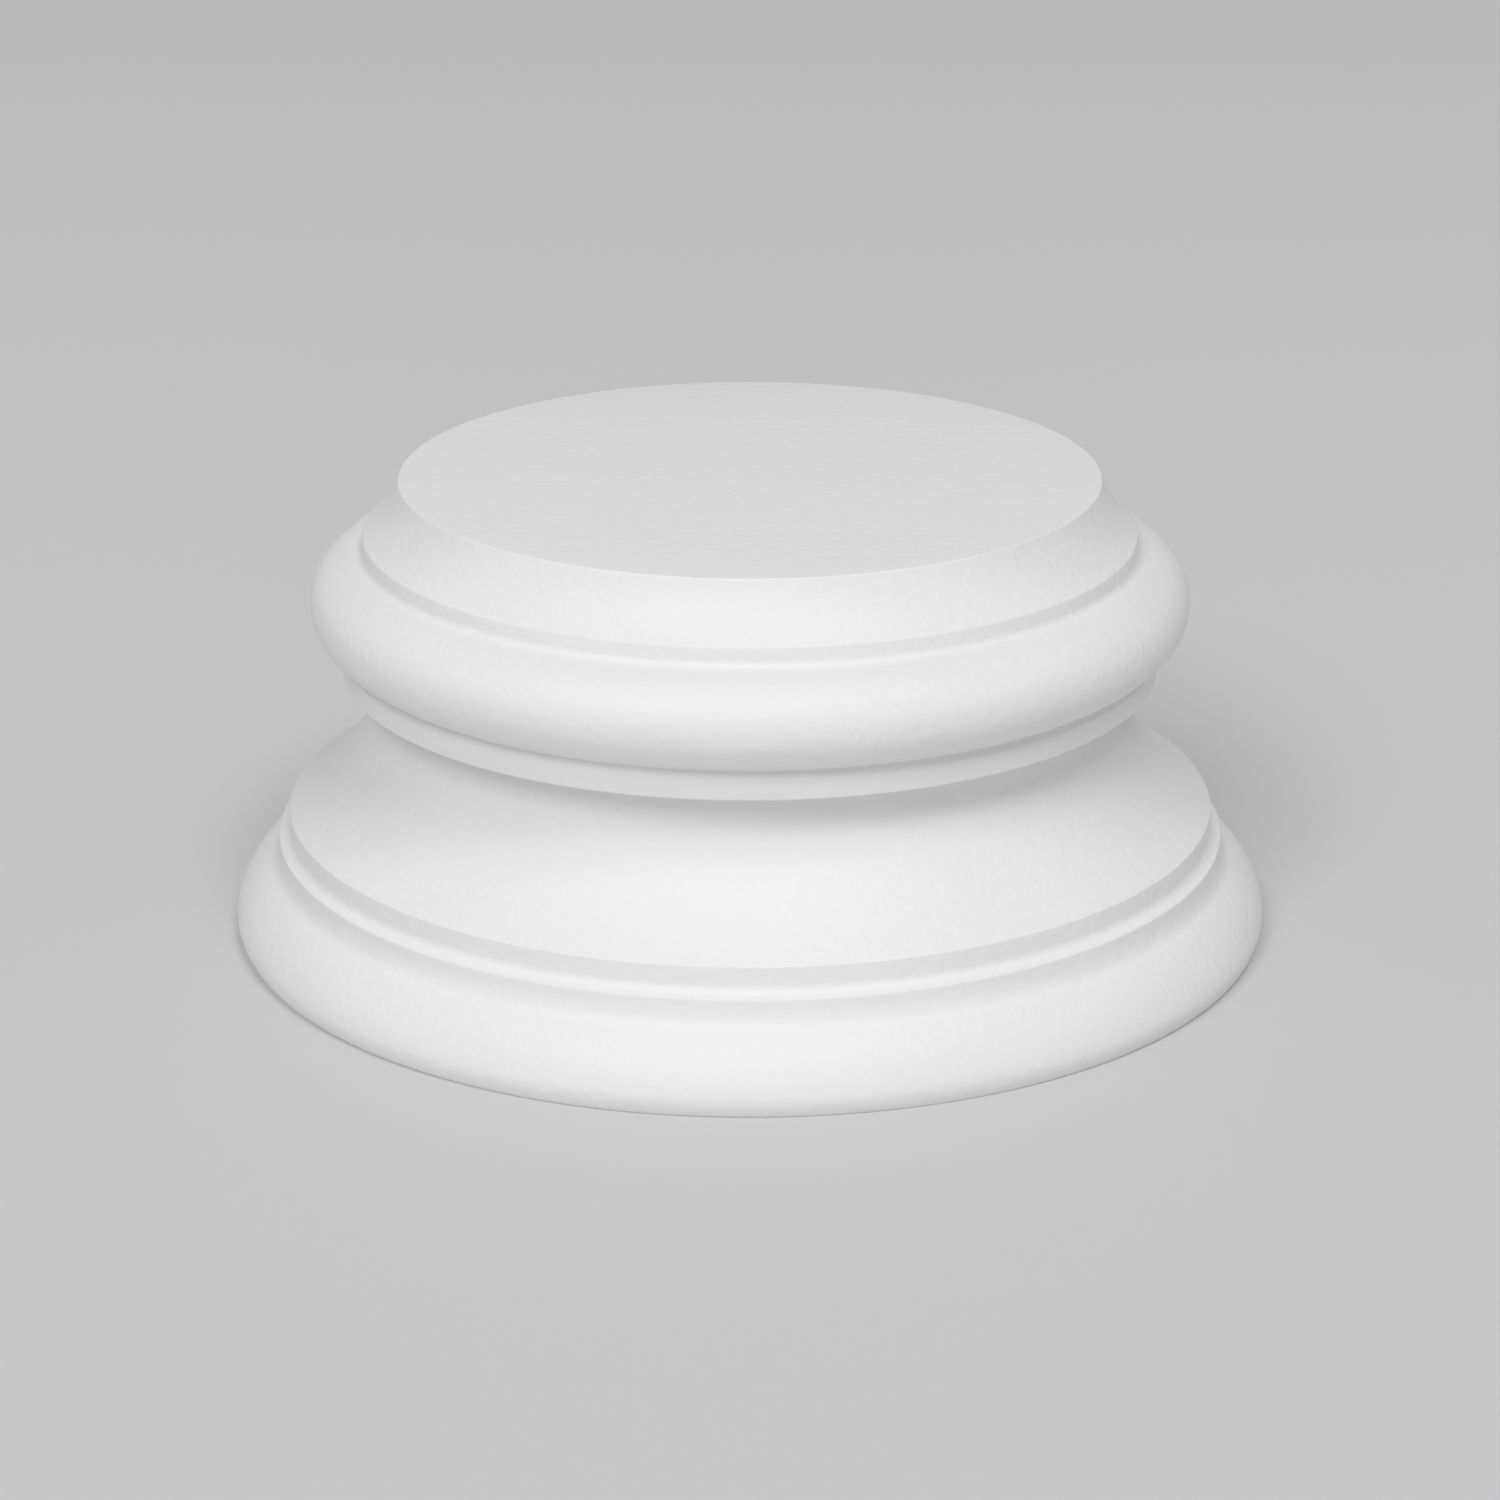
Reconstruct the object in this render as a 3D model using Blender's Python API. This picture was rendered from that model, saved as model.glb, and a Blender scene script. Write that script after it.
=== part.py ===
"""Round column base of the Attic kind, without a plinth.

One moulded body, turned about the upright axis. Units are metres and +Z is up.
The origin is the centre of the underside. Levels are heights above the underside,
and radii are measured from the axis.
"""

import math

import bmesh
import bpy

# Driving dimensions: levels, from the foot up
LOWER_TORUS_LEVEL = 0.0062
LOWER_TORUS_TOP = 0.0272
STEP_LEVEL = 0.0345
STEP_WALL_FOOT_LEVEL = 0.0380
SCOTIA_EDGE_LEVEL = 0.0440
FILLET_FOOT_LEVEL = 0.0926
FILLET_ARRIS_LEVEL = 0.1000
UPPER_TORUS_LEVEL = 0.1180
UPPER_TORUS_TOP = 0.1355
QUIRK_WALL_FOOT_LEVEL = 0.1373
FLARE_EDGE_LEVEL = 0.1410
HEIGHT = 0.1600

# Driving dimensions: radii, from the foot up
LOWER_TORUS_RADIUS = 0.1800
STEP_FOOT_RADIUS = 0.1676
STEP_RADIUS = 0.1645
SCOTIA_EDGE_RADIUS = 0.1606
NECK_RADIUS = 0.1275
FILLET_FOOT_RADIUS = 0.1404
FILLET_ARRIS_RADIUS = 0.1405
GROOVE_RADIUS = 0.1385
UPPER_TORUS_RADIUS = 0.1510
QUIRK_FOOT_RADIUS = 0.1353
QUIRK_WALL_RADIUS = 0.1330
FLARE_EDGE_RADIUS = 0.1326
SEAT_RADIUS = 0.1200

# How far each torus swells in from its widest line, and how full its curve is:
# 2 is an ellipse, less is leaner towards the shoulder, more is squarer
LOWER_TORUS_REACH = 0.0190
LOWER_TORUS_DROP = 0.0138
LOWER_TORUS_FULLNESS = 1.64
UPPER_TORUS_REACH = 0.0250
UPPER_TORUS_FULLNESS = 2.15
UPPER_TORUS_UNDER_REACH = 0.0225
UPPER_TORUS_DROP = 0.0176
UPPER_TORUS_UNDER_FULLNESS = 2.1
ELLIPSE = 2.0

# The bow of the flare, and the slopes at which the hollows run out
FLARE_HALF_SWEEP = math.radians(17.6)
QUIRK_RUN_OUT = math.radians(13.0)
SCOTIA_RUN_OUT = math.radians(34.0)
STEP_RUN_OUT = math.radians(8.0)
SHOULDER_RUN_OUT = math.radians(31.0)

# Fineness of the turned solid
SEGMENTS = 96
FLARE_STEPS = 4
COVE_STEPS = 3
TORUS_STEPS = 7
SCOTIA_STEPS = 8

SHARP_ANGLE = math.radians(32.0)
SMALLEST_GAP = 1e-6

WHITE_PRIMER = (0.82, 0.82, 0.82, 1.0)
PRIMER_ROUGHNESS = 0.55


def fractions(steps):
    """Evenly spaced fractions from 0 to 1."""
    return [step / steps for step in range(steps + 1)]


def hollow_arc(start, end, half_sweep, steps):
    """Circular arc from start to end that bends in towards the axis."""
    (start_radius, start_level), (end_radius, end_level) = start, end
    chord = math.hypot(end_radius - start_radius, end_level - start_level)
    curve_radius = chord / 2 / math.sin(half_sweep)
    setback = curve_radius * math.cos(half_sweep)
    across = ((start_level - end_level) / chord, (end_radius - start_radius) / chord)
    centre_radius = (start_radius + end_radius) / 2 + setback * across[0]
    centre_level = (start_level + end_level) / 2 + setback * across[1]
    first = math.atan2(start_level - centre_level, start_radius - centre_radius)
    return [
        (
            centre_radius + curve_radius * math.cos(first + 2 * half_sweep * part),
            centre_level + curve_radius * math.sin(first + 2 * half_sweep * part),
        )
        for part in fractions(steps)
    ]


def hollow(start, end, run_out, steps):
    """Curve that leaves the start straight down and meets the end at the run-out slope."""
    bend = (start[0], end[1] + (end[0] - start[0]) * math.tan(run_out))
    return [
        tuple(
            (1 - part) ** 2 * a + 2 * part * (1 - part) * b + part**2 * c
            for a, b, c in zip(start, bend, end)
        )
        for part in fractions(steps)
    ]


def torus_point(widest, level, reach, rise, fullness, angle):
    """Point of a swelling whose widest line is at angle 0; a negative angle is below it."""
    out = math.cos(angle) ** (2 / fullness)
    up = math.copysign(abs(math.sin(angle)) ** (2 / fullness), angle)
    return widest - reach * (1 - out), level + rise * up


def torus_angle_at_radius(widest, reach, fullness, radius):
    """Angle at which the swelling has the given radius."""
    out = 1 - (widest - radius) / reach
    return math.acos(out ** (fullness / 2))


def swelling(widest, level, reach, rise, fullness, first, last, steps):
    """Stretch of a torus between two angles."""
    return [
        torus_point(widest, level, reach, rise, fullness, first + (last - first) * part)
        for part in fractions(steps)
    ]


def upper_torus():
    """From the foot of the quirk, round the widest line, in to the groove."""
    rise = UPPER_TORUS_TOP - UPPER_TORUS_LEVEL
    first = torus_angle_at_radius(
        UPPER_TORUS_RADIUS, UPPER_TORUS_REACH, UPPER_TORUS_FULLNESS, QUIRK_FOOT_RADIUS
    )
    last = torus_angle_at_radius(
        UPPER_TORUS_RADIUS,
        UPPER_TORUS_UNDER_REACH,
        UPPER_TORUS_UNDER_FULLNESS,
        GROOVE_RADIUS,
    )
    above = swelling(
        UPPER_TORUS_RADIUS,
        UPPER_TORUS_LEVEL,
        UPPER_TORUS_REACH,
        rise,
        UPPER_TORUS_FULLNESS,
        first,
        0.0,
        TORUS_STEPS,
    )
    below = swelling(
        UPPER_TORUS_RADIUS,
        UPPER_TORUS_LEVEL,
        UPPER_TORUS_UNDER_REACH,
        UPPER_TORUS_DROP,
        UPPER_TORUS_UNDER_FULLNESS,
        0.0,
        -last,
        TORUS_STEPS,
    )
    return above + below[1:]


def lower_torus():
    """From the foot of the step, round the widest line, in to the underside."""
    rise = LOWER_TORUS_TOP - LOWER_TORUS_LEVEL
    first = torus_angle_at_radius(
        LOWER_TORUS_RADIUS, LOWER_TORUS_REACH, LOWER_TORUS_FULLNESS, STEP_FOOT_RADIUS
    )
    last = math.asin(LOWER_TORUS_LEVEL / LOWER_TORUS_DROP)
    above = swelling(
        LOWER_TORUS_RADIUS,
        LOWER_TORUS_LEVEL,
        LOWER_TORUS_REACH,
        rise,
        LOWER_TORUS_FULLNESS,
        first,
        0.0,
        TORUS_STEPS,
    )
    below = swelling(
        LOWER_TORUS_RADIUS,
        LOWER_TORUS_LEVEL,
        LOWER_TORUS_REACH,
        LOWER_TORUS_DROP,
        ELLIPSE,
        0.0,
        -last,
        COVE_STEPS,
    )
    return above + below[1:]


def outline():
    """Half section from the middle of the seat, down the outside, to that of the underside."""
    rim = (SEAT_RADIUS, HEIGHT)
    flare_edge = (FLARE_EDGE_RADIUS, FLARE_EDGE_LEVEL)
    flare = hollow_arc(rim, flare_edge, FLARE_HALF_SWEEP, FLARE_STEPS)

    upper = upper_torus()
    quirk_wall_foot = (QUIRK_WALL_RADIUS, QUIRK_WALL_FOOT_LEVEL)
    quirk = hollow(quirk_wall_foot, upper[0], QUIRK_RUN_OUT, COVE_STEPS)

    fillet_arris = (FILLET_ARRIS_RADIUS, FILLET_ARRIS_LEVEL)
    fillet_foot = (FILLET_FOOT_RADIUS, FILLET_FOOT_LEVEL)
    neck = (NECK_RADIUS, FILLET_FOOT_LEVEL)
    scotia_edge = (SCOTIA_EDGE_RADIUS, SCOTIA_EDGE_LEVEL)
    scotia = hollow(neck, scotia_edge, SCOTIA_RUN_OUT, SCOTIA_STEPS)

    step_edge = (STEP_RADIUS, STEP_LEVEL)
    step_wall_foot = (SCOTIA_EDGE_RADIUS, STEP_WALL_FOOT_LEVEL)
    step = hollow(step_wall_foot, step_edge, STEP_RUN_OUT, COVE_STEPS)

    lower = lower_torus()
    shoulder = hollow(step_edge, lower[0], SHOULDER_RUN_OUT, COVE_STEPS)

    return (
        [(0.0, HEIGHT)]
        + flare
        + quirk
        + upper[1:]
        + [fillet_arris, fillet_foot]
        + scotia
        + step
        + shoulder[1:]
        + lower[1:]
        + [(0.0, 0.0)]
    )


def turned_mesh(name, section):
    """Mesh of the section spun once about the upright axis, its poles closed."""
    mesh = bpy.data.meshes.new(name)
    shape = bmesh.new()
    points = [shape.verts.new((radius, 0.0, level)) for radius, level in section]
    edges = [shape.edges.new(pair) for pair in zip(points, points[1:])]
    bmesh.ops.spin(
        shape,
        geom=points + edges,
        cent=(0.0, 0.0, 0.0),
        axis=(0.0, 0.0, 1.0),
        angle=math.tau,
        steps=SEGMENTS,
        use_merge=True,
    )
    bmesh.ops.remove_doubles(shape, verts=shape.verts, dist=SMALLEST_GAP)
    bmesh.ops.recalc_face_normals(shape, faces=shape.faces)
    shape.to_mesh(mesh)
    shape.free()
    mesh.shade_smooth()
    mesh.set_sharp_from_angle(angle=SHARP_ANGLE)
    return mesh


def primer_material():
    """Matt white primer, as the moulded body leaves the workshop."""
    material = bpy.data.materials.new("white_primer")
    material.use_nodes = True
    shader = material.node_tree.nodes["Principled BSDF"]
    shader.inputs["Base Color"].default_value = WHITE_PRIMER
    shader.inputs["Roughness"].default_value = PRIMER_ROUGHNESS
    shader.inputs["Metallic"].default_value = 0.0
    return material


def clear_scene():
    for item in list(bpy.data.objects):
        bpy.data.objects.remove(item)


def main():
    clear_scene()
    mesh = turned_mesh("column_base", outline())
    mesh.materials.append(primer_material())
    base = bpy.data.objects.new("column_base", mesh)
    bpy.context.scene.collection.objects.link(base)


main()
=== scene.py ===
"""Looks of a round white column base, laid out as an add-on and run as a script.

The section is worked out from named sizes, turned by a node tree and finished in
white primer. A second operator sets the pale floor, the soft light and the camera.
Units are metres. Levels are heights above the underside, radii run from the axis.
"""

import math

import bmesh
import bpy
from bpy.props import (
    FloatProperty,
    FloatVectorProperty,
    IntProperty,
    PointerProperty,
)
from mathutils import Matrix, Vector


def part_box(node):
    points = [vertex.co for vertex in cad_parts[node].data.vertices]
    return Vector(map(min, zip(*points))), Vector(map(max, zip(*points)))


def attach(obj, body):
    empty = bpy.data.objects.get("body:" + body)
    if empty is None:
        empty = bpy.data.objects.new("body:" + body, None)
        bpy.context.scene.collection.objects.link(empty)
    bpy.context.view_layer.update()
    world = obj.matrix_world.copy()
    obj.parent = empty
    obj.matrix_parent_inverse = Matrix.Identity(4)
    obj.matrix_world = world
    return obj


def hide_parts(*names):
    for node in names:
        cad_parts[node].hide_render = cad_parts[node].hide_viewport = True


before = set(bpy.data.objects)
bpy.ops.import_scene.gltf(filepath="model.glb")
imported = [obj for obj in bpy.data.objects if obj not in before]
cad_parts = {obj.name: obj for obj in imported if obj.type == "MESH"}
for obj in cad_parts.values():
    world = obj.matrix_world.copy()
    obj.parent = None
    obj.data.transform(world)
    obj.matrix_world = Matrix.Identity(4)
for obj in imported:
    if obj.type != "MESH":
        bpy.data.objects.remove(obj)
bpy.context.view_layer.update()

bl_info = {
    "name": "Column Base",
    "version": (1, 0, 0),
    "blender": (4, 5, 0),
    "location": "3D View > Sidebar > Column Base",
    "description": "Turns a column base from its section and sets it on a pale floor",
    "category": "Add Mesh",
}

BODY = "root"
NODE = "column_base"

NODE_LOW, NODE_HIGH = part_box(NODE)
NODE_HEIGHT = NODE_HIGH.z - NODE_LOW.z
NODE_RADIUS = (NODE_HIGH.x - NODE_LOW.x) / 2

# How the section is divided: points on each kind of curve
FLARE_STEPS = 20
COVE_STEPS = 10
TORUS_STEPS = 30
SCOTIA_STEPS = 30
ELLIPSE = 2.0

MERGE_DISTANCE = 1e-6
SHARP_ANGLE = math.radians(40)

# Radius of the circle that the section is turned along; any radius gives the same body
TURNING_RADIUS = 0.2

# A profile's Y runs down a circle's Z, so the section is turned over first
UPRIGHT = (1.0, -1.0, 1.0)

# How much fine detail the noises of the coat have, and how strong it is
DRIFT_DETAIL = 3.0
DRIFT_DETAIL_STRENGTH = 0.55
RELIEF_DETAIL = 2.0
RELIEF_DETAIL_STRENGTH = 0.5

FLOOR_ROUGHNESS = 0.9
WHITE = (1.0, 1.0, 1.0, 1.0)
NODE_SPACING = 200


def length(name, description, default):
    """A size in metres."""
    return FloatProperty(
        name=name,
        description=description,
        default=default,
        min=0.0,
        precision=4,
        subtype="DISTANCE",
        unit="LENGTH",
    )


def angle(name, description, degrees):
    """An angle given in degrees."""
    return FloatProperty(
        name=name,
        description=description,
        default=math.radians(degrees),
        subtype="ANGLE",
        unit="ROTATION",
    )


def factor(name, description, default, highest=1.0):
    """A plain number from 0 up."""
    return FloatProperty(
        name=name,
        description=description,
        default=default,
        min=0.0,
        max=highest,
        subtype="FACTOR",
    )


def power(name, description, default):
    """A light's power in watts."""
    return FloatProperty(
        name=name, description=description, default=default, min=0.0, unit="POWER"
    )


def colour(name, description, default):
    """A linear colour."""
    return FloatVectorProperty(
        name=name,
        description=description,
        default=default,
        min=0.0,
        max=1.0,
        size=3,
        subtype="COLOR",
    )


class ColumnBaseSizes(bpy.types.PropertyGroup):
    """Sizes of the section, from the foot up."""

    height: length("Height", "From the underside to the seat", NODE_HEIGHT)
    foot_radius: length("Foot radius", "Widest line of the lower torus", NODE_RADIUS)
    foot_level: length("Foot level", "Level of the lower torus's widest line", 0.0062)
    foot_top: length("Foot top", "Level that the lower torus would rise to", 0.0272)
    foot_reach: length("Foot reach", "How far the lower torus swells out", 0.019)
    foot_drop: length("Foot drop", "How deep the lower torus curves under", 0.0138)
    foot_fullness: factor("Foot fullness", "2 is an ellipse, less leaner", 1.64, 4.0)
    step_foot_radius: length("Step foot radius", "Where the step meets the torus", 0.1676)
    step_radius: length("Step radius", "Lower arris above the torus", 0.1645)
    step_level: length("Step level", "Level of the lower arris", 0.0345)
    scotia_edge_radius: length("Scotia edge radius", "Arris at the scotia's end", 0.1606)
    scotia_edge_level: length("Scotia edge level", "Level of the scotia's arris", 0.044)
    step_wall_foot: length("Step wall foot", "Level where the wall curves out", 0.038)
    step_run_out: angle("Step run-out", "Slope of the step's hollow at its arris", 8.0)
    shoulder_run_out: angle("Shoulder run-out", "Slope of the wall at the torus", 31.0)
    scotia_run_out: angle("Scotia run-out", "Slope of the scotia at its arris", 34.0)
    neck_radius: length("Neck radius", "Narrowest line of the scotia", 0.1275)
    fillet_foot_radius: length("Fillet foot radius", "Lower arris of the fillet", 0.1404)
    fillet_foot_level: length("Fillet foot level", "Underside of the fillet", 0.0926)
    fillet_arris_radius: length("Fillet arris radius", "Upper arris of the fillet", 0.1405)
    fillet_arris_level: length("Fillet arris level", "Level of its upper arris", 0.1)
    groove_radius: length("Groove radius", "Bottom of the groove under the torus", 0.1385)
    torus_radius: length("Torus radius", "Widest line of the upper torus", 0.151)
    torus_level: length("Torus level", "Level of the upper torus's widest line", 0.118)
    torus_top: length("Torus top", "Level that the upper torus would rise to", 0.1355)
    torus_reach: length("Torus reach", "How far it swells out above", 0.025)
    torus_under_reach: length("Torus under reach", "How far it swells out below", 0.0225)
    torus_drop: length("Torus drop", "How far the upper torus curves down", 0.0176)
    torus_fullness: factor("Torus fullness", "2 is an ellipse, more squarer", 2.15, 4.0)
    torus_under_fullness: factor("Torus under fullness", "The same, below", 2.1, 4.0)
    quirk_foot_radius: length("Quirk foot radius", "Where it meets the torus", 0.1353)
    quirk_wall_radius: length("Quirk wall radius", "Wall under the flare's arris", 0.133)
    quirk_wall_foot: length("Quirk wall foot", "Level where the wall curves out", 0.1373)
    quirk_run_out: angle("Quirk run-out", "Slope of the quirk at the torus", 13.0)
    flare_edge_radius: length("Flare edge radius", "Arris under the flare", 0.1326)
    flare_edge_level: length("Flare edge level", "Level of the flare's arris", 0.141)
    flare_half_sweep: angle("Flare half sweep", "Half the angle that it bends", 17.6)
    seat_radius: length("Seat radius", "Rim that the shaft stands within", 0.12)
    arris_radius: length("Arris radius", "How far an arris is eased", 0.0006)
    facets: IntProperty(
        name="Facets", description="Faces round the axis", default=288, min=24, max=720
    )
    arris_facets: IntProperty(
        name="Arris facets", description="Faces across an eased arris", default=4, min=1
    )


class ColumnBaseFinish(bpy.types.PropertyGroup):
    """The coat of primer."""

    primer: colour("Primer", "Colour of the primer", (0.82, 0.82, 0.82))
    primer_shade: colour("Primer shade", "Where the coat is thinner", (0.8, 0.8, 0.796))
    roughness: factor("Roughness", "How matt the primer is", 0.55)
    roughness_spread: factor("Roughness spread", "How much the roughness drifts", 0.08)
    specular: factor("Specular", "How strongly the coat reflects at its surface", 0.4)
    peel_size: length("Peel size", "Width of the ripples of the sprayed coat", 0.0035)
    peel_depth: length("Peel depth", "Depth of the ripples of the sprayed coat", 0.0003)
    grain_size: length("Grain size", "Width of the primer's fine grain", 0.0009)
    grain_depth: length("Grain depth", "Depth of the primer's fine grain", 0.00004)
    drift_size: length("Drift size", "Width of the slow changes in the coat", 0.045)


class ColumnBaseStage(bpy.types.PropertyGroup):
    """Floor, light and camera."""

    floor_colour: colour("Floor colour", "Pale floor", (0.64, 0.64, 0.64))
    floor_size: length("Floor size", "Side of the square floor", 60.0)
    world_strength: factor("World strength", "Light from all round", 0.415, 10.0)
    left_power: power("Left power", "Soft light from the front and left", 446.0)
    right_power: power("Right power", "Soft light from the right, higher up", 418.0)
    low_power: power("Low power", "Soft light from the front, low down", 134.0)
    light_distance: length("Light distance", "From the aim point to each light", 12.0)
    light_size: length("Light size", "Side of each square light", 4.8)
    camera_distance: length("Camera distance", "From the aim point", 1.5329)
    camera_elevation: angle("Camera elevation", "Above the horizontal", 19.76)
    aim_level: length("Aim level", "Level on the axis that the camera aims at", 0.0594)
    lens_mm: FloatProperty(
        name="Lens",
        description="Focal length in millimetres",
        default=105.3,
        min=1.0,
        subtype="DISTANCE_CAMERA",
        unit="CAMERA",
    )


def fractions(steps):
    """Evenly spaced fractions from 0 to 1."""
    return [step / steps for step in range(steps + 1)]


def hollow_arc(start, end, half_sweep, steps):
    """Circular arc from start to end that bends in towards the axis."""
    (start_radius, start_level), (end_radius, end_level) = start, end
    chord = math.hypot(end_radius - start_radius, end_level - start_level)
    curve_radius = chord / 2 / math.sin(half_sweep)
    setback = curve_radius * math.cos(half_sweep)
    across = ((start_level - end_level) / chord, (end_radius - start_radius) / chord)
    centre_radius = (start_radius + end_radius) / 2 + setback * across[0]
    centre_level = (start_level + end_level) / 2 + setback * across[1]
    first = math.atan2(start_level - centre_level, start_radius - centre_radius)
    return [
        (
            centre_radius + curve_radius * math.cos(first + 2 * half_sweep * part),
            centre_level + curve_radius * math.sin(first + 2 * half_sweep * part),
        )
        for part in fractions(steps)
    ]


def hollow(start, end, run_out, steps):
    """Curve that leaves the start straight down and meets the end at a slope."""
    bend = (start[0], end[1] + (end[0] - start[0]) * math.tan(run_out))
    return [
        tuple(
            (1 - part) ** 2 * a + 2 * part * (1 - part) * b + part**2 * c
            for a, b, c in zip(start, bend, end)
        )
        for part in fractions(steps)
    ]


def swelling(widest, level, reach, rise, fullness, first, last, steps):
    """Stretch of a torus between two angles; 0 is its widest line, below is negative."""
    points = []
    for part in fractions(steps):
        turn = first + (last - first) * part
        out = math.cos(turn) ** (2 / fullness)
        up = math.copysign(abs(math.sin(turn)) ** (2 / fullness), turn)
        points.append((widest - reach * (1 - out), level + rise * up))
    return points


def swelling_angle(widest, reach, fullness, radius):
    """Angle at which a torus has the given radius."""
    out = 1 - (widest - radius) / reach
    return math.acos(out ** (fullness / 2))


def upper_torus(sizes):
    """From the foot of the quirk, round the widest line, in to the groove."""
    widest, level, reach = sizes.torus_radius, sizes.torus_level, sizes.torus_reach
    first = swelling_angle(widest, reach, sizes.torus_fullness, sizes.quirk_foot_radius)
    under, fullness = sizes.torus_under_reach, sizes.torus_under_fullness
    last = swelling_angle(widest, under, fullness, sizes.groove_radius)
    rise = sizes.torus_top - level
    above = swelling(
        widest, level, reach, rise, sizes.torus_fullness, first, 0.0, TORUS_STEPS
    )
    below = swelling(
        widest, level, under, sizes.torus_drop, fullness, 0.0, -last, TORUS_STEPS
    )
    return above + below[1:]


def lower_torus(sizes):
    """From the foot of the step, round the widest line, in to the underside."""
    widest, level, reach = sizes.foot_radius, sizes.foot_level, sizes.foot_reach
    first = swelling_angle(widest, reach, sizes.foot_fullness, sizes.step_foot_radius)
    last = math.asin(level / sizes.foot_drop)
    rise = sizes.foot_top - level
    above = swelling(
        widest, level, reach, rise, sizes.foot_fullness, first, 0.0, TORUS_STEPS
    )
    below = swelling(
        widest, level, reach, sizes.foot_drop, ELLIPSE, 0.0, -last, COVE_STEPS
    )
    return above + below[1:]


def section(sizes):
    """Points of the half section from the seat down, each with its arris radius."""
    rim = (sizes.seat_radius, sizes.height)
    flare_edge = (sizes.flare_edge_radius, sizes.flare_edge_level)
    upper = upper_torus(sizes)
    lower = lower_torus(sizes)
    fillet_arris = (sizes.fillet_arris_radius, sizes.fillet_arris_level)
    fillet_foot = (sizes.fillet_foot_radius, sizes.fillet_foot_level)
    neck = (sizes.neck_radius, sizes.fillet_foot_level)
    scotia_edge = (sizes.scotia_edge_radius, sizes.scotia_edge_level)
    step_edge = (sizes.step_radius, sizes.step_level)
    quirk_wall_foot = (sizes.quirk_wall_radius, sizes.quirk_wall_foot)
    step_wall_foot = (sizes.scotia_edge_radius, sizes.step_wall_foot)

    stretches = [
        [(0.0, sizes.height), rim],
        hollow_arc(rim, flare_edge, sizes.flare_half_sweep, FLARE_STEPS),
        [flare_edge, quirk_wall_foot],
        hollow(quirk_wall_foot, upper[0], sizes.quirk_run_out, COVE_STEPS),
        upper,
        [upper[-1], fillet_arris],
        [fillet_arris, fillet_foot],
        [fillet_foot, neck],
        hollow(neck, scotia_edge, sizes.scotia_run_out, SCOTIA_STEPS),
        [scotia_edge, step_wall_foot],
        hollow(step_wall_foot, step_edge, sizes.step_run_out, COVE_STEPS),
        hollow(step_edge, lower[0], sizes.shoulder_run_out, COVE_STEPS),
        lower,
        [lower[-1], (0.0, 0.0)],
    ]
    arrises = (
        rim,
        flare_edge,
        upper[-1],
        fillet_arris,
        fillet_foot,
        scotia_edge,
        step_edge,
        lower[-1],
    )
    points = [stretches[0][0]]
    for stretch in stretches:
        points += stretch[1:]
    return [
        (point, sizes.arris_radius if point in arrises else 0.0) for point in points
    ]


def section_curve(name, points):
    """The section as a curve in the XY plane; each point's radius is its arris radius."""
    data = bpy.data.curves.new(name, "CURVE")
    data.dimensions = "3D"
    spline = data.splines.new("POLY")
    spline.points.add(len(points) - 1)
    for place, ((radius, level), arris) in zip(spline.points, points):
        place.co = (radius, level, 0.0, 1.0)
        place.radius = arris
    return data


class TreeBuilder:
    """Adds nodes to a tree, each with its settings and links, from left to right."""

    def __init__(self, tree):
        self.tree = tree
        self.column = 0

    def add(self, kind, settings=None, **inputs):
        """A node of this kind; an input is a value, a socket or a node's first output."""
        node = self.tree.nodes.new(kind)
        node.location = (self.column * NODE_SPACING, 0)
        self.column += 1
        for key, value in (settings or {}).items():
            setattr(node, key, value)
        for key, value in inputs.items():
            self.fill(self.find(node, key), value)
        return node

    def find(self, node, key):
        """The enabled input whose name, spaces as underscores, is key."""
        for socket in node.inputs:
            if socket.enabled and socket.name.replace(" ", "_").lower() == key.lower():
                return socket
        raise KeyError(f"{node.bl_idname} has no input {key}")

    def fill(self, socket, value):
        if isinstance(value, bpy.types.Node):
            value = value.outputs[0]
        if isinstance(value, bpy.types.NodeSocket):
            self.tree.links.new(value, socket)
        else:
            socket.default_value = value


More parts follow.
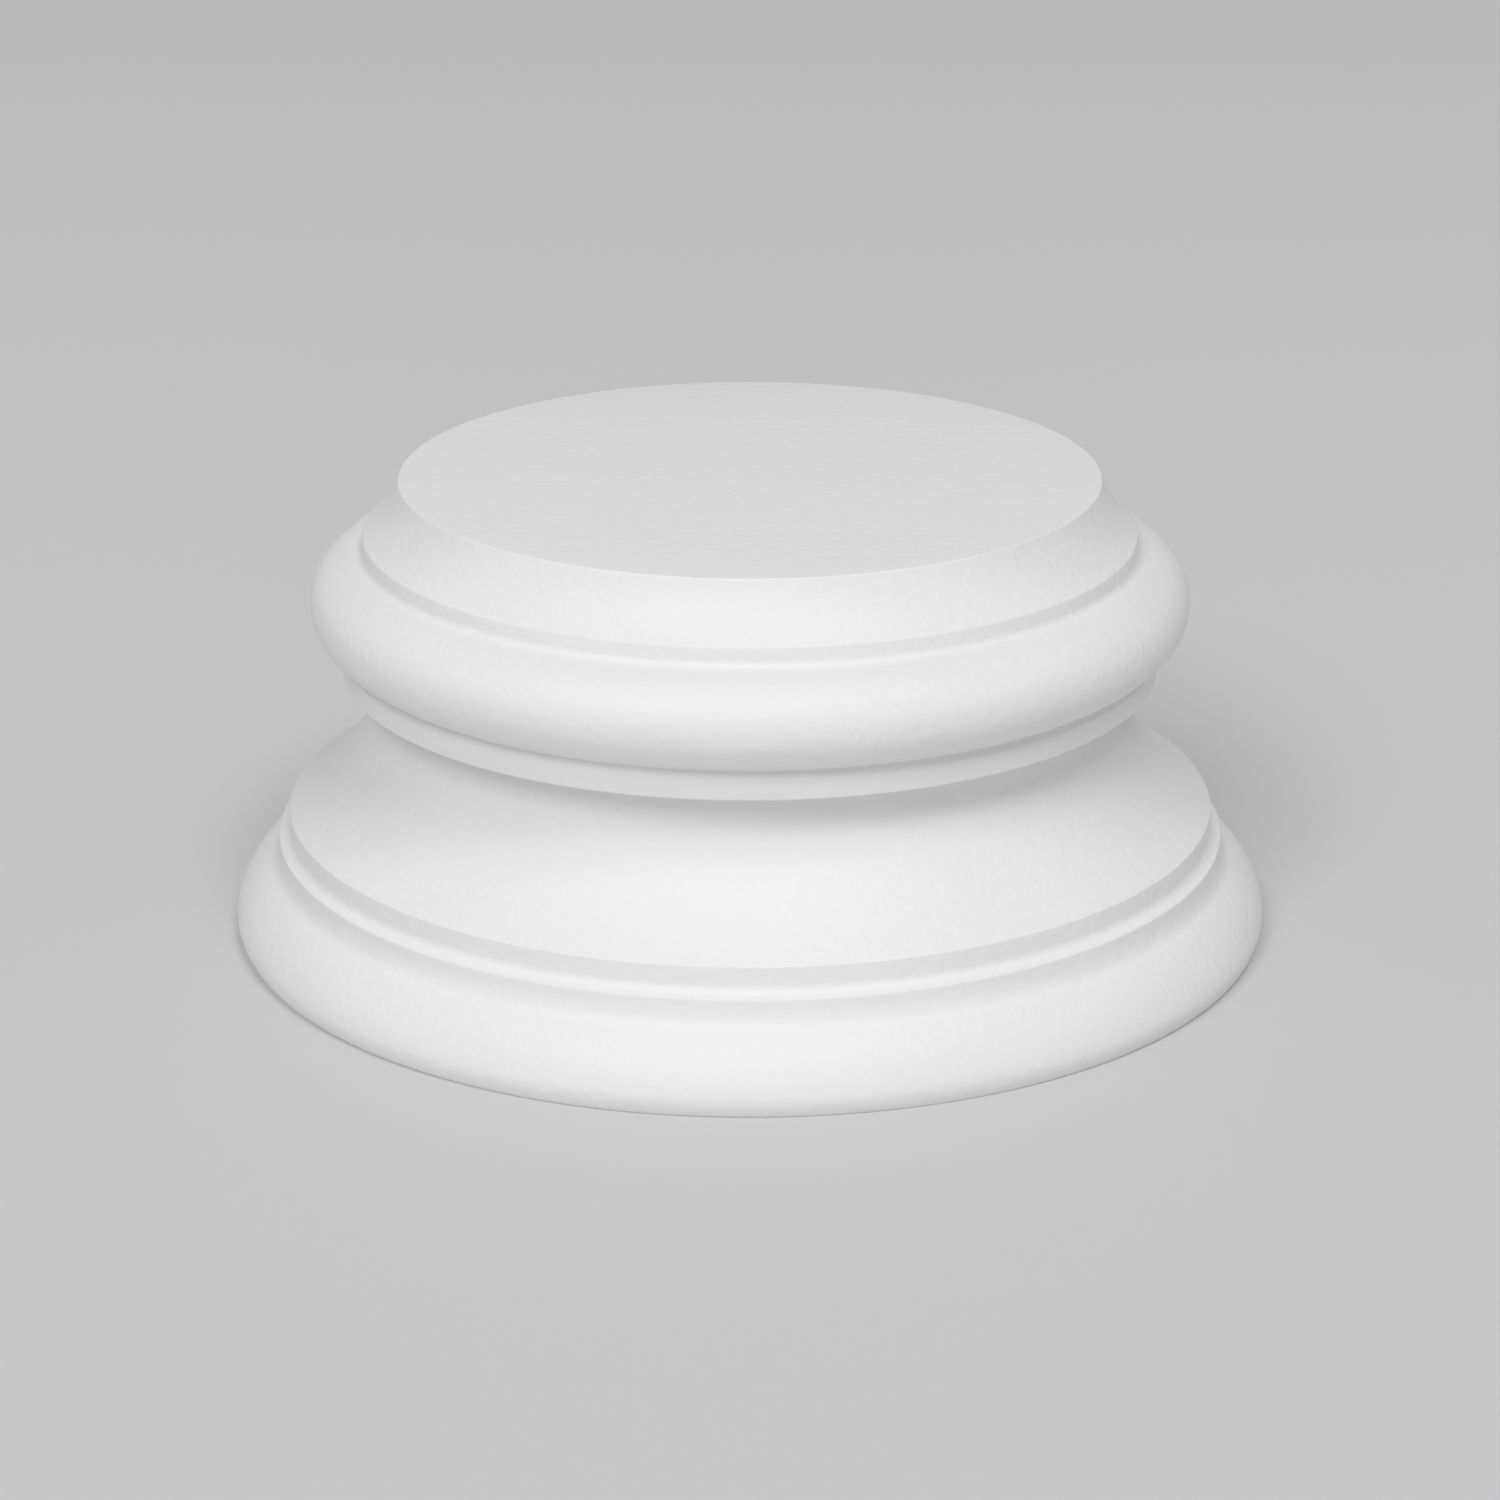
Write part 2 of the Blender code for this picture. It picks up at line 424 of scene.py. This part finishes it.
def turning_tree():
    """Eases the arrises of a section curve and turns it about the Z axis."""
    tree = bpy.data.node_groups.new("Turn Moulding", "GeometryNodeTree")
    face = tree.interface
    face.new_socket("Section", in_out="INPUT", socket_type="NodeSocketGeometry")
    face.new_socket("Facets", in_out="INPUT", socket_type="NodeSocketInt")
    face.new_socket("Arris Facets", in_out="INPUT", socket_type="NodeSocketInt")
    for name, default in (
        ("Turning Radius", TURNING_RADIUS),
        ("Merge Distance", MERGE_DISTANCE),
        ("Sharp Angle", SHARP_ANGLE),
    ):
        socket = face.new_socket(name, in_out="INPUT", socket_type="NodeSocketFloat")
        socket.default_value = default
    face.new_socket("Finish", in_out="INPUT", socket_type="NodeSocketMaterial")
    face.new_socket("Body", in_out="OUTPUT", socket_type="NodeSocketGeometry")

    make = TreeBuilder(tree)
    given = make.add("NodeGroupInput").outputs
    arris = make.add("GeometryNodeInputRadius")
    eased = make.add(
        "GeometryNodeFilletCurve",
        {"mode": "POLY"},
        Curve=given["Section"],
        Count=given["Arris Facets"],
        Radius=arris,
        Limit_Radius=True,
    )
    inward = make.add(
        "ShaderNodeMath", {"operation": "MULTIPLY"}, Value=given["Turning Radius"]
    )
    inward.inputs[1].default_value = -1.0
    shift = make.add("ShaderNodeCombineXYZ", X=inward)
    beside = make.add(
        "GeometryNodeTransform", Geometry=eased, Translation=shift, Scale=UPRIGHT
    )
    circle = make.add(
        "GeometryNodeCurvePrimitiveCircle",
        {"mode": "RADIUS"},
        Resolution=given["Facets"],
        Radius=given["Turning Radius"],
    )
    turned = make.add("GeometryNodeCurveToMesh", Curve=circle, Profile_Curve=beside)
    merged = make.add(
        "GeometryNodeMergeByDistance", Geometry=turned, Distance=given["Merge Distance"]
    )
    bend = make.add("GeometryNodeInputMeshEdgeAngle")
    sharp = make.add("ShaderNodeMath", {"operation": "GREATER_THAN"}, Value=bend)
    make.fill(sharp.inputs[1], given["Sharp Angle"])
    smooth = make.add(
        "GeometryNodeSetShadeSmooth",
        {"domain": "FACE"},
        Geometry=merged,
        Shade_Smooth=True,
    )
    creased = make.add(
        "GeometryNodeSetShadeSmooth",
        {"domain": "EDGE"},
        Geometry=smooth,
        Selection=sharp,
        Shade_Smooth=False,
    )
    real = make.add("GeometryNodeRealizeInstances", Geometry=creased)
    finished = make.add(
        "GeometryNodeSetMaterial", Geometry=real, Material=given["Finish"]
    )
    make.add("NodeGroupOutput", Body=finished)
    return tree


def give(modifier, values):
    """Set a node tree modifier's inputs by their socket identifiers."""
    for item in modifier.node_group.interface.items_tree:
        if item.in_out == "INPUT" and item.name in values:
            modifier[item.identifier] = values[item.name]


def face_outwards(mesh):
    """Turn the mesh's faces outwards, going by its volume's sign."""
    shape = bmesh.new()
    shape.from_mesh(mesh)
    if shape.calc_volume(signed=True) < 0:
        bmesh.ops.reverse_faces(shape, faces=shape.faces)
    shape.to_mesh(mesh)
    shape.free()


def primer_material(finish):
    """White primer: ripples and a fine grain, with slow drifts of tone and gloss."""
    material = bpy.data.materials.new("white_primer_coat")
    material.use_nodes = True
    tree = material.node_tree
    shader = tree.nodes["Principled BSDF"]
    make = TreeBuilder(tree)
    place = make.add("ShaderNodeTexCoord").outputs["Object"]

    drift = make.add(
        "ShaderNodeTexNoise",
        Vector=place,
        Scale=1 / finish.drift_size,
        Detail=DRIFT_DETAIL,
        Roughness=DRIFT_DETAIL_STRENGTH,
    )
    tone = make.add(
        "ShaderNodeMix",
        {"data_type": "RGBA"},
        Factor=drift.outputs["Fac"],
        A=(*finish.primer_shade, 1.0),
        B=(*finish.primer, 1.0),
    )
    mixed = next(socket for socket in tone.outputs if socket.enabled)
    make.fill(shader.inputs["Base Color"], mixed)

    gloss = make.add("ShaderNodeMapRange", Value=drift.outputs["Fac"])
    gloss.inputs["To Min"].default_value = finish.roughness - finish.roughness_spread
    gloss.inputs["To Max"].default_value = finish.roughness + finish.roughness_spread
    make.fill(shader.inputs["Roughness"], gloss.outputs["Result"])

    relief = None
    for width, depth in (
        (finish.peel_size, finish.peel_depth),
        (finish.grain_size, finish.grain_depth),
    ):
        ripple = make.add(
            "ShaderNodeTexNoise",
            Vector=place,
            Scale=1 / width,
            Detail=RELIEF_DETAIL,
            Roughness=RELIEF_DETAIL_STRENGTH,
        )
        bump = make.add(
            "ShaderNodeBump", Height=ripple.outputs["Fac"], Strength=1.0, Distance=depth
        )
        if relief is not None:
            make.fill(bump.inputs["Normal"], relief)
        relief = bump
    make.fill(shader.inputs["Normal"], relief)
    shader.inputs["Specular IOR Level"].default_value = finish.specular
    return material


class COLUMNBASE_OT_body(bpy.types.Operator):
    """Turn the column base from its section and coat it in primer"""

    bl_idname = "columnbase.body"
    bl_label = "Turn Column Base"
    bl_options = {"REGISTER", "UNDO"}

    def execute(self, context):
        sizes = context.scene.column_base_sizes
        material = primer_material(context.scene.column_base_finish)
        curve = section_curve("column_base_section", section(sizes))
        guide = bpy.data.objects.new("column_base_section", curve)
        context.scene.collection.objects.link(guide)

        modifier = guide.modifiers.new("turning", "NODES")
        modifier.node_group = turning_tree()
        give(
            modifier,
            {
                "Facets": sizes.facets,
                "Arris Facets": sizes.arris_facets,
                "Finish": material,
            },
        )
        depsgraph = context.evaluated_depsgraph_get()
        mesh = bpy.data.meshes.new_from_object(guide.evaluated_get(depsgraph))
        guide.modifiers.remove(modifier)
        bpy.data.objects.remove(guide)
        face_outwards(mesh)

        piece = bpy.data.objects.new("turned_column_base", mesh)
        context.scene.collection.objects.link(piece)
        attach(piece, BODY)
        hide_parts(NODE)
        return {"FINISHED"}


# Each soft light: the setting for its power, degrees right of the camera, degrees up
LIGHTS = (
    ("left_power", -25.0, 42.0),
    ("right_power", 25.0, 60.0),
    ("low_power", 0.0, 8.0),
)


def soft_light(scene, stage, setting, degrees_right, degrees_up, aim):
    """Square area light, placed round the aim point and turned to it."""
    data = bpy.data.lights.new(setting.replace("power", "light"), "AREA")
    data.energy = getattr(stage, setting)
    data.shape = "SQUARE"
    data.size = stage.light_size
    right, up = math.radians(degrees_right), math.radians(degrees_up)
    towards = Vector(
        (math.cos(up) * math.sin(right), -math.cos(up) * math.cos(right), math.sin(up))
    )
    light = bpy.data.objects.new(data.name, data)
    light.location = aim + stage.light_distance * towards
    light.rotation_euler = towards.to_track_quat("Z", "Y").to_euler()
    scene.collection.objects.link(light)


class COLUMNBASE_OT_stage(bpy.types.Operator):
    """Set the pale floor, the soft light and the camera"""

    bl_idname = "columnbase.stage"
    bl_label = "Set Stage"
    bl_options = {"REGISTER", "UNDO"}

    def execute(self, context):
        scene = context.scene
        stage = scene.column_base_stage
        aim = Vector((0.0, 0.0, stage.aim_level))
        self.add_floor(scene, stage)
        self.add_world(scene, stage)
        for light in LIGHTS:
            soft_light(scene, stage, *light, aim)
        self.add_camera(scene, stage, aim)
        scene.view_settings.view_transform = "Standard"
        return {"FINISHED"}

    def add_floor(self, scene, stage):
        half = stage.floor_size / 2
        corners = [
            (-half, -half, 0.0),
            (half, -half, 0.0),
            (half, half, 0.0),
            (-half, half, 0.0),
        ]
        mesh = bpy.data.meshes.new("floor")
        mesh.from_pydata(corners, [], [(0, 1, 2, 3)])
        material = bpy.data.materials.new("pale_floor")
        material.use_nodes = True
        shader = material.node_tree.nodes["Principled BSDF"]
        shader.inputs["Base Color"].default_value = (*stage.floor_colour, 1.0)
        shader.inputs["Roughness"].default_value = FLOOR_ROUGHNESS
        mesh.materials.append(material)
        floor = bpy.data.objects.new("floor", mesh)
        scene.collection.objects.link(floor)

    def add_world(self, scene, stage):
        world = bpy.data.worlds.new("studio")
        world.use_nodes = True
        background = world.node_tree.nodes["Background"]
        background.inputs["Color"].default_value = WHITE
        background.inputs["Strength"].default_value = stage.world_strength
        scene.world = world

    def add_camera(self, scene, stage, aim):
        back = stage.camera_distance * math.cos(stage.camera_elevation)
        up = stage.camera_distance * math.sin(stage.camera_elevation)
        data = bpy.data.cameras.new("camera")
        data.lens = stage.lens_mm
        camera = bpy.data.objects.new("camera", data)
        camera.location = aim + Vector((0.0, -back, up))
        camera.rotation_euler = (math.pi / 2 - stage.camera_elevation, 0.0, 0.0)
        scene.collection.objects.link(camera)
        scene.camera = camera


class COLUMNBASE_PT_panel(bpy.types.Panel):
    """Sizes, finish and stage of the column base"""

    bl_idname = "COLUMNBASE_PT_panel"
    bl_label = "Column Base"
    bl_space_type = "VIEW_3D"
    bl_region_type = "UI"
    bl_category = "Column Base"

    def draw(self, context):
        for group, operator in (
            ("column_base_sizes", None),
            ("column_base_finish", COLUMNBASE_OT_body.bl_idname),
            ("column_base_stage", COLUMNBASE_OT_stage.bl_idname),
        ):
            settings = getattr(context.scene, group)
            box = self.layout.box()
            for key in settings.__annotations__:
                box.prop(settings, key)
            if operator:
                box.operator(operator)


GROUPS = {
    "column_base_sizes": ColumnBaseSizes,
    "column_base_finish": ColumnBaseFinish,
    "column_base_stage": ColumnBaseStage,
}
CLASSES = (*GROUPS.values(), COLUMNBASE_OT_body, COLUMNBASE_OT_stage, COLUMNBASE_PT_panel)


def register():
    for cls in CLASSES:
        bpy.utils.register_class(cls)
    for name, group in GROUPS.items():
        setattr(bpy.types.Scene, name, PointerProperty(type=group))


def unregister():
    for name in GROUPS:
        delattr(bpy.types.Scene, name)
    for cls in reversed(CLASSES):
        bpy.utils.unregister_class(cls)


def main():
    register()
    bpy.ops.columnbase.body()
    bpy.ops.columnbase.stage()


if __name__ == "__main__":
    main()
